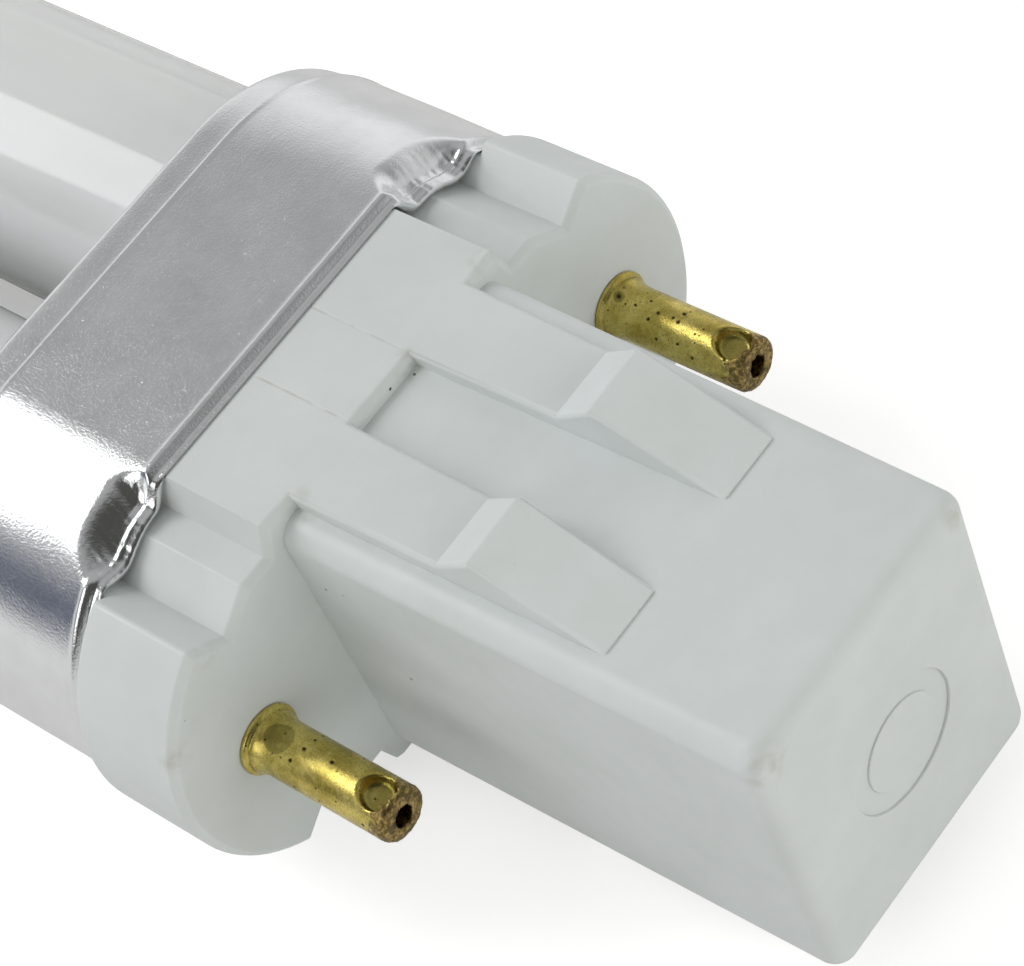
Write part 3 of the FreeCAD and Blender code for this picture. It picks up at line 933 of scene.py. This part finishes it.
# %% Shell columns
shell_low, shell_high = lamp_box("cap_shell")
SHELL_HALF_WIDTH = shell_high.x
SHELL_HALF = shell_high.z
SHELL_FRONT = shell_low.y
SHELL_RIM = shell_high.y
SHELL_FLAT = SHELL_HALF_WIDTH - SHELL_HALF
FLAT_STEPS = 26
DENT_STEP, PLAIN_STEP = 0.4, 3.0
DENT_TO = 48.0


def end_angles():
    """Angles from the top of an end to its bottom, close together where the dents are."""
    fine = np.arange(0, DENT_TO, DENT_STEP)
    plain = np.arange(DENT_TO, 180 - DENT_TO, PLAIN_STEP)
    return np.radians(np.concatenate([fine, plain, 180 - fine[::-1]]))


def shell_columns():
    """Centre and outward direction of each column, once round the oval."""
    flat = np.linspace(-1, 1, FLAT_STEPS + 1)[1:-1] * SHELL_FLAT
    turn = end_angles()
    end = np.full(len(turn), SHELL_FLAT)
    centre = np.concatenate([flat, end, -flat, -end])
    zero = np.zeros(len(flat))
    out_x = np.concatenate([zero, np.sin(turn), zero, -np.sin(turn)])
    out_z = np.concatenate([zero + 1, np.cos(turn), zero - 1, -np.cos(turn)])
    return centre, out_x, out_z


CENTRE_X, OUT_X, OUT_Z = shell_columns()
print("shell", round(2 * SHELL_HALF_WIDTH, 2), "by", round(2 * SHELL_HALF, 2), "mm")
print(len(OUT_X), "columns round the shell")

# %% [markdown]
# A groove is a steep wall beside the plateau, a level ledge and a valley. Each stretch is a
# straight line, and taking the higher or lower of two lines joins them. The smooth versions
# of those two choices also give the sheet its bend radius, with no extra modelling.

# %% Groove line
PLATEAU_EDGE = 7.1
PLATEAU_HALF = 8.4
LEDGE_DROP, LEDGE_RUN, LEDGE_WIDTH = 1.4, 0.5, 1.4
VALLEY_RUN, VALLEY_DROP = 1.65, 2.55
VALLEY_X = PLATEAU_EDGE + LEDGE_RUN + LEDGE_WIDTH + VALLEY_RUN
FLANK_ANGLE = 35.0
SHEET = 0.3
CRIMP_GAP = 0.12
FRONT_BEND, BACK_BEND = 0.8, 1.6
SHEET_BEND = 0.45
DENT_STRIP = 0.65
DENT_SLOPE = 1.45
DENT_FOOT = 0.25
BEND_GROWTH = 0.25
WIDEST_BEND = 0.8


def smooth_min(a, b, bend):
    near = np.maximum(bend - np.abs(a - b), 0) / bend
    return np.minimum(a, b) - near * near * bend / 4


def smooth_max(a, b, bend):
    return -smooth_min(-a, -b, bend)


def groove_height(x, gap, bend):
    """Height of a line that follows the groove at a distance above it, with its corners eased."""
    ledge_z = PLATEAU_HALF - LEDGE_DROP
    valley_z = PLATEAU_HALF - VALLEY_DROP
    wall = -LEDGE_DROP / LEDGE_RUN
    fall = (valley_z - ledge_z) / VALLEY_RUN
    flank = math.tan(math.radians(FLANK_ANGLE))
    on_wall = PLATEAU_HALF + wall * (x - PLATEAU_EDGE) + gap * math.hypot(1, wall)
    on_fall = valley_z + fall * (x - VALLEY_X) + gap * math.hypot(1, fall)
    on_flank = valley_z + flank * (x - VALLEY_X) + gap * math.hypot(1, flank)
    on_floor = smooth_min(ledge_z + gap, on_fall, bend / 2)
    return smooth_max(smooth_max(on_wall, on_floor, bend), on_flank, bend)


def dent_rise(y):
    """How far the sheet has climbed out of the groove."""
    past = y - SHELL_FRONT - DENT_STRIP
    return DENT_SLOPE * (past + math.hypot(past, DENT_FOOT)) / 2


valley = groove_height(np.array([VALLEY_X]), 0, FRONT_BEND)
print("valley", round(float(valley[0]), 2), "mm from the axis")

# %% [markdown]
# Now the rows. They run from the crimped edge back over the outside, over the crease and
# the rim, in through the opening, and forward again inside the sheet. A half-round closes
# the front edge, as on real sheet that has been cut and tumbled. A low bead runs behind that
# edge, and in the dents a lip. Waves and streaks in the dents and a slow wobble everywhere
# keep the reflections from looking machined.

# %% Shell rows
CREASE_Y = SHELL_RIM - 1.9
CREASE_STEP = 0.2
RIM_ROUND = 0.45
RIM_PLACES = (0.7, 1.1)
RIM_TURNS = np.radians(np.linspace(0, 90, 8))
EDGE_NOSE = 0.3
ROLL_LENGTH, ROLL_DROP, ROLL_POWER = 0.38, 0.26, 1.4
LIP_RISE, LIP_PLACE, LIP_WIDTH = 0.12, 0.12, 0.2
BEAD_RISE, BEAD_PLACE, BEAD_WIDTH = 0.05, 0.3, 0.18
DENT_LENGTH, DENT_ROW_STEP = 3.3, 0.06
DENT_ROWS = np.arange(0.0, DENT_LENGTH, DENT_ROW_STEP)
BODY_FROM, BODY_CLEAR, BODY_COUNT = 3.9, 0.35, 14
BODY_ROWS = np.linspace(SHELL_FRONT + BODY_FROM, CREASE_Y - BODY_CLEAR, BODY_COUNT)
CREASE_PROFILE = (
    (-0.14, 0.0),
    (-0.06, -0.03),
    (0.0, -0.02),
    (0.05, 0.05),
    (0.1, 0.14),
    (0.17, 0.19),
    (0.3, 0.2),
)
WRINKLE_LENGTH = 0.32
WRINKLE_DEPTH = 0.042
WRINKLED_LENGTH = 1.5
WRINKLE_SWAY = 2.1
STREAK_LENGTH = 0.42
STREAK_DEPTH = 0.01
STREAK_SWING, STREAK_TURNS, STREAK_SWAY = 2.0, 3.0, 7.0
DENT_FULL = 0.8
WOBBLE_DEPTH = 0.025
WOBBLE_SCALE = 0.35


def pressed_row(y, inset, gap, flat=SHELL_FLAT):
    """One ring of the sheet at distance y, pressed onto the groove's line."""
    half = SHELL_HALF - inset
    x = CENTRE_X * flat / SHELL_FLAT + half * OUT_X
    z = half * np.abs(OUT_Z)
    back = y - SHELL_FRONT
    groove = groove_height(np.abs(x), gap, min(FRONT_BEND + back, BACK_BEND)) + dent_rise(y)
    bend = min(SHEET_BEND + BEND_GROWTH * back, WIDEST_BEND)
    pressed = smooth_min(z, groove, bend)
    depth = np.clip((z - pressed) / DENT_FULL, 0, 1)
    wave = np.sin(2 * math.pi * back / WRINKLE_LENGTH + np.sin(WRINKLE_SWAY * x))
    fading = max(0.0, 1 - back / WRINKLED_LENGTH)
    swing = STREAK_SWING * np.sin(STREAK_TURNS * back)
    streak = np.sin(2 * math.pi * x / STREAK_LENGTH + swing + np.sin(STREAK_SWAY * x))
    pressed = pressed + depth * (WRINKLE_DEPTH * fading * wave + STREAK_DEPTH * streak)
    return np.stack([x, np.full(len(x), y), np.sign(OUT_Z) * pressed], axis=1)


def wobble(row, depth):
    """Slow unevenness of thin sheet, in and out."""
    for i, p in enumerate(row):
        shift = noise.noise(Vector(p) * WOBBLE_SCALE) * depth
        p[0] += shift * OUT_X[i]
        p[2] += shift * OUT_Z[i]
    return row


def front_rows():
    """The rolled-over front edge with its bead, and a lip where it is pressed in."""
    rows = []
    for s in DENT_ROWS:
        roll = ROLL_DROP * max(0.0, 1 - s / ROLL_LENGTH) ** ROLL_POWER
        lip = LIP_RISE * math.exp(-((s - LIP_PLACE) / LIP_WIDTH) ** 2)
        bead = BEAD_RISE * math.exp(-((s - BEAD_PLACE) / BEAD_WIDTH) ** 2)
        row = pressed_row(SHELL_FRONT + EDGE_NOSE + s, roll - bead, CRIMP_GAP + SHEET + lip)
        rows.append(wobble(row, WOBBLE_DEPTH))
    return rows


def outside_rows():
    places = [(y, 0.0) for y in BODY_ROWS]
    places += [(CREASE_Y + dy, inset) for dy, inset in CREASE_PROFILE]
    places += [(CREASE_Y + dy, CREASE_STEP) for dy in RIM_PLACES]
    centre_y = SHELL_RIM - RIM_ROUND
    for angle in RIM_TURNS:
        inset = CREASE_STEP + RIM_ROUND * (1 - math.cos(angle))
        places.append((centre_y + RIM_ROUND * math.sin(angle), inset))
    rows = [pressed_row(y, inset, CRIMP_GAP + SHEET) for y, inset in places]
    return front_rows() + [wobble(row, WOBBLE_DEPTH) for row in rows]


print(len(DENT_ROWS), "rows in the dents,", len(BODY_ROWS), "behind them")

# %% [markdown]
# The other side of the sheet follows at the sheet's thickness and closes the mesh. Only the
# rim's opening shows, so it needs fewer rows.

# %% Rim, inside and skin
OPENING_HALF = 6.45
OPENING_FLAT = 7.15
OPENING_NOSE, OPENING_EASE = 0.06, 0.1
RIM_SHARES = (0.3, 0.7, 0.95)
RIM_INSIDE = 0.8
INSIDE_STEP = 3
EDGE_TURNS = np.radians(np.linspace(180, 0, 8))[1:-1]


def rim_rows():
    """The turned-in rim, from its outer bend through the opening to the inner wall."""
    to_opening = SHELL_HALF - OPENING_HALF
    start = CREASE_STEP + RIM_ROUND
    rows = []
    for share in RIM_SHARES:
        flat = SHELL_FLAT + share * (OPENING_FLAT - SHELL_FLAT)
        rows.append(pressed_row(SHELL_RIM, start + share * (to_opening - start), CRIMP_GAP, flat))
    for back in (OPENING_NOSE, SHEET - OPENING_NOSE):
        rows.append(pressed_row(SHELL_RIM - back, to_opening, CRIMP_GAP, OPENING_FLAT))
    rows.append(pressed_row(SHELL_RIM - SHEET, to_opening - OPENING_EASE, CRIMP_GAP, OPENING_FLAT))
    rows.append(pressed_row(SHELL_RIM - SHEET, start + SHEET, CRIMP_GAP))
    return rows


def inside_rows():
    places = (SHELL_RIM - RIM_INSIDE, CREASE_Y)
    rows = [pressed_row(y, CREASE_STEP + SHEET, CRIMP_GAP) for y in places]
    rows.append(pressed_row(CREASE_Y - SHEET, SHEET, CRIMP_GAP))
    for s in DENT_ROWS[::-INSIDE_STEP]:
        rows.append(pressed_row(SHELL_FRONT + EDGE_NOSE + s, SHEET, CRIMP_GAP))
    return rows


def edge_rows(inner, outer):
    """Half-round from the inner to the outer side of the cut front edge."""
    rows = []
    middle = (inner + outer) / 2
    half = (outer - inner) / 2
    forward = np.array([0.0, -EDGE_NOSE, 0.0])
    for angle in EDGE_TURNS:
        rows.append(middle + half * math.cos(angle) + forward * math.sin(angle))
    return rows


def shell_mesh():
    outside = outside_rows()
    inside = inside_rows()
    rows = outside + rim_rows() + inside + edge_rows(inside[-1], outside[0])
    return skin("crimped_shell", rows)


add_piece("crimped_shell", shell_mesh(), ALUMINIUM, "cap_shell")

# %% [markdown]
# ## The pins
# Each pin is a length of brass tube with a riveted collar. A turned part is a profile
# swept round an axis, so the rows are circles at distances from the shoulder. A dimple is
# punched near the tip, and the cut end is ragged. Three noises do that, one for each
# direction, read at fixed offsets so that the tears are the same in every run.

# %% Pin rows
PIN_SEGMENTS = 112
PIN_X = 11.5
PIN_RADIUS = 1.18
COLLAR_RADIUS = 1.5
PIN_BORE = 0.55
PIN_LENGTH = -PIN_TIP_Y
PIN_START = -0.6
SHAFT_FROM = 1.05
COLLAR_PROFILE = (
    (PIN_START, 1.1), (-0.02, 1.1), (0.0, 1.42), (0.04, 1.49),
    (0.12, 1.5), (0.2, 1.49), (0.25, 1.43), (0.28, 1.34), (0.33, 1.31),
    (0.4, 1.33), (0.5, 1.31), (0.62, 1.255), (0.78, 1.21), (0.95, 1.185),
)
TIP_ROUND = 0.3
TIP_TURNS = np.radians(np.linspace(0, 90, 5))
FACE_ROWS = 7
BORE_DEPTHS = (0.08, 0.3, 0.8, 1.8, 3.5, PIN_LENGTH)
ROW_STEP = 0.07
DIMPLE_RADIUS = 0.8
DIMPLE_DEPTH = 0.72
DIMPLE_TILT = 0.3
DIMPLE_WALL = 7
WALL_LEFT = 0.14
DIMPLE_FROM_TIP = 0.95
TORN_LENGTH = 0.6
TORN_DEPTH = 0.05
TORN_TOP, TORN_TOP_POWER = 1.5, 3
TORN_PULL = 0.6
COARSE_TEARS, FINE_TEARS = 3.5, 8.0
COARSE_SHIFT, FINE_SHIFT = 7, 3
FINE_SHARE = 0.6
TEAR_OFFSETS = (Vector((9.3, -1.5, -7.9)), Vector((0.6, 5.2, 2.4)), Vector((-6.3, 0.1, 8.0)))
BORE_PINCH = 0.85
BORE_MARGIN = 0.02


def pin_profile():
    """Distance and radius of each row, from inside the cap over the tip and down the bore."""
    rows = list(COLLAR_PROFILE)
    rows += [(d, PIN_RADIUS) for d in np.arange(SHAFT_FROM, PIN_LENGTH - TIP_ROUND, ROW_STEP)]
    for angle in TIP_TURNS:
        distance = PIN_LENGTH - TIP_ROUND * (1 - math.sin(angle))
        rows.append((distance, PIN_RADIUS - TIP_ROUND * (1 - math.cos(angle))))
    face = np.linspace(PIN_RADIUS - TIP_ROUND, PIN_BORE, FACE_ROWS)[1:]
    rows += [(PIN_LENGTH, r) for r in face]
    rows += [(PIN_LENGTH - d, PIN_BORE) for d in BORE_DEPTHS]
    rows.append((PIN_START, PIN_BORE))
    return rows


def dimple_floor(across, along):
    """Height of the punched floor: steep walls, and deeper towards the tip."""
    away = math.hypot(across, along) / DIMPLE_RADIUS
    if away > 1:
        return COLLAR_RADIUS
    return PIN_RADIUS - (1 - away ** DIMPLE_WALL) * (DIMPLE_DEPTH - DIMPLE_TILT * along)


def tear(x, y, z, scale, shift):
    """Push of the torn metal at a place; the shift sets the two pins apart."""
    place = Vector((x * scale + shift, y * scale, z * scale))
    return Vector([noise.noise(place + offset) for offset in TEAR_OFFSETS])


def pin_point(side, distance, radius, angle):
    """A point of the pin, with its dimple, its pinched bore and its torn end."""
    x = radius * math.sin(angle)
    z = radius * math.cos(angle)
    outer = radius > PIN_BORE + BORE_MARGIN
    if not outer:
        x *= BORE_PINCH
    if z > 0:
        floor_z = dimple_floor(x, PIN_LENGTH - DIMPLE_FROM_TIP - distance)
        z = min(z, floor_z if outer else floor_z - WALL_LEFT)
    torn = max(0.0, 1 - (PIN_LENGTH - distance) / TORN_LENGTH)
    torn *= 1 + TORN_TOP * max(0.0, math.cos(angle)) ** TORN_TOP_POWER
    rough = tear(x, distance, z, COARSE_TEARS, COARSE_SHIFT * side)
    rough += tear(x, distance, z, FINE_TEARS, FINE_SHIFT * side) * FINE_SHARE
    shift = rough * (TORN_DEPTH * torn)
    shift.y = -abs(shift.y)
    return side * PIN_X + x + shift.x, -distance - shift.y * TORN_PULL, z + shift.z


def pin_mesh(name, side):
    angles = np.linspace(0, 2 * math.pi, PIN_SEGMENTS, endpoint=False)
    rows = [[pin_point(side, d, r, a) for a in angles] for d, r in pin_profile()]
    return skin(name, rows)


for side, word in ((-1, "left"), (1, "right")):
    name = "brass_pin_" + word
    add_piece(name, pin_mesh(name, side), BRASS, "pin_" + word)

# %% [markdown]
# ## The tube
# A bent tube follows a rule: a circle swept along a path with round corners. Geometry Nodes
# say just that. The path has four points, Fillet Curve turns its two corners into one half
# circle, and Curve to Mesh sweeps the glass along it. The result becomes a plain mesh.

# %% Tube path and nodes
tube_high = lamp_box("glass_tube")[1]
TUBE_RADIUS = tube_high.z
LEG_X = tube_high.x - TUBE_RADIUS
LEG_START = 10.2
LEG_END = tube_high.y - TUBE_RADIUS
BEND_STEPS = 40
TUBE_SEGMENTS = 96
TUBE_INPUTS = {
    "Path": "Geometry",
    "Bend radius": "Float",
    "Tube radius": "Float",
    "Bend steps": "Int",
    "Segments": "Int",
    "Finish": "Material",
}


def swept_tube_nodes():
    tree = bpy.data.node_groups.new("swept_tube", "GeometryNodeTree")
    for label, kind in TUBE_INPUTS.items():
        tree.interface.new_socket(label, in_out="INPUT", socket_type="NodeSocket" + kind)
    tree.interface.new_socket("Tube", in_out="OUTPUT", socket_type="NodeSocketGeometry")
    given = add_node(tree, "NodeGroupInput").outputs
    bent = {"Curve": given["Path"], "Radius": given["Bend radius"], "Count": given["Bend steps"]}
    fillet = add_node(tree, "GeometryNodeFilletCurve", bent, mode="POLY")
    ring = {"Resolution": given["Segments"], "Radius": given["Tube radius"]}
    circle = add_node(tree, "GeometryNodeCurvePrimitiveCircle", ring)
    swept = {"Curve": fillet.outputs[0], "Profile Curve": circle.outputs[0], "Fill Caps": True}
    sweep = add_node(tree, "GeometryNodeCurveToMesh", swept)
    real = add_node(tree, "GeometryNodeRealizeInstances", {0: sweep.outputs[0]})
    dressed = {"Geometry": real.outputs[0], "Material": given["Finish"]}
    finish = add_node(tree, "GeometryNodeSetMaterial", dressed)
    add_node(tree, "NodeGroupOutput", {"Tube": finish.outputs[0]})
    return tree


def tube_mesh():
    path = bpy.data.curves.new("tube_path", "CURVE")
    path.dimensions = "3D"
    spline = path.splines.new("POLY")
    corners = ((-LEG_X, LEG_START), (-LEG_X, LEG_END), (LEG_X, LEG_END), (LEG_X, LEG_START))
    spline.points.add(len(corners) - 1)
    for point, (x, y) in zip(spline.points, corners):
        point.co = (*lamp_point(x, y, 0), 1)
    draft = bpy.data.objects.new("tube_draft", path)
    show(draft)
    tree = swept_tube_nodes()
    modifier = draft.modifiers.new("swept_tube", "NODES")
    modifier.node_group = tree
    values = {"Bend radius": LEG_X * MM, "Tube radius": TUBE_RADIUS * MM}
    values.update({"Bend steps": BEND_STEPS, "Segments": TUBE_SEGMENTS, "Finish": GLASS})
    for item in tree.interface.items_tree:
        if item.name in values:
            modifier[item.identifier] = values[item.name]
    mesh = finished_mesh(draft, "bent_tube")
    mesh.shade_smooth()
    return mesh


add_piece("bent_tube", tube_mesh(), GLASS, "glass_tube")

# %% [markdown]
# ## What is inside
# The cement shows only as a thin ring at the rim, and the starter, its capacitor and the
# leads can't be seen at all unless the cap is taken away. They stay as the solids they are,
# and each still gets a finish of its own.

# %% Inner finishes
CEMENT_LIGHT, CEMENT_DARK = (0.66, 0.65, 0.6, 1), (0.48, 0.47, 0.43, 1)
LACQUER_LIGHT, LACQUER_DARK = (0.46, 0.17, 0.06, 1), (0.34, 0.11, 0.04, 1)
WIRE_LIGHT, WIRE_DARK = (0.64, 0.63, 0.6, 1), (0.42, 0.41, 0.38, 1)
LIGHT_GLOSS = 0.8
HIDDEN_RELIEF = 0.02 * MM
SMEAR_CLOUDS, SMEAR_SPAN = 500, (0.4, 0.8)
CLEAR_ROUGH = (0.03, 0.12)
CLEAR_IOR = 1.5


def plain_finish(name, light, dark, scale, roughness, metallic=0.0):
    """A mottled finish for a hidden piece."""
    material, tree, shader = new_finish(name)
    field = noise_field(tree, scale, detail=4.0, roughness=0.6)
    colour = mix_colour(stretched(field), dark, light)
    rough = stretched(field, roughness, roughness * LIGHT_GLOSS)
    relief = add_bump(field, HIDDEN_RELIEF, strength=0.5)
    set_inputs(shader, {"Base Color": colour, "Roughness": rough, "Normal": relief})
    set_inputs(shader, {"Metallic": metallic})
    return material


def clear_glass():
    material, tree, shader = new_finish("glass_clear")
    smear = noise_field(tree, SMEAR_CLOUDS, detail=3.0)
    smear = spread(smear, *SMEAR_SPAN, *CLEAR_ROUGH)
    set_inputs(shader, {"Roughness": smear, "Transmission Weight": 1.0, "IOR": CLEAR_IOR})
    return material


CEMENT = plain_finish("cement_dry", CEMENT_LIGHT, CEMENT_DARK, scale=1800, roughness=0.9)
LACQUER = plain_finish("lacquer_dipped", LACQUER_LIGHT, LACQUER_DARK, scale=600, roughness=0.25)
WIRE = plain_finish("wire_tinned", WIRE_LIGHT, WIRE_DARK, scale=2500, roughness=0.35, metallic=1.0)
INNER = {"tube_cement": CEMENT, "starter_capacitor": LACQUER, "starter_bottle": clear_glass()}
for name, node in frame["nodes"].items():
    finish = WIRE if "lead" in name else INNER.get(name)
    if finish:
        node.data.materials.clear()
        node.data.materials.append(finish)
print("inner finishes on", sorted(n for n in frame["nodes"] if "lead" in n or n in INNER))
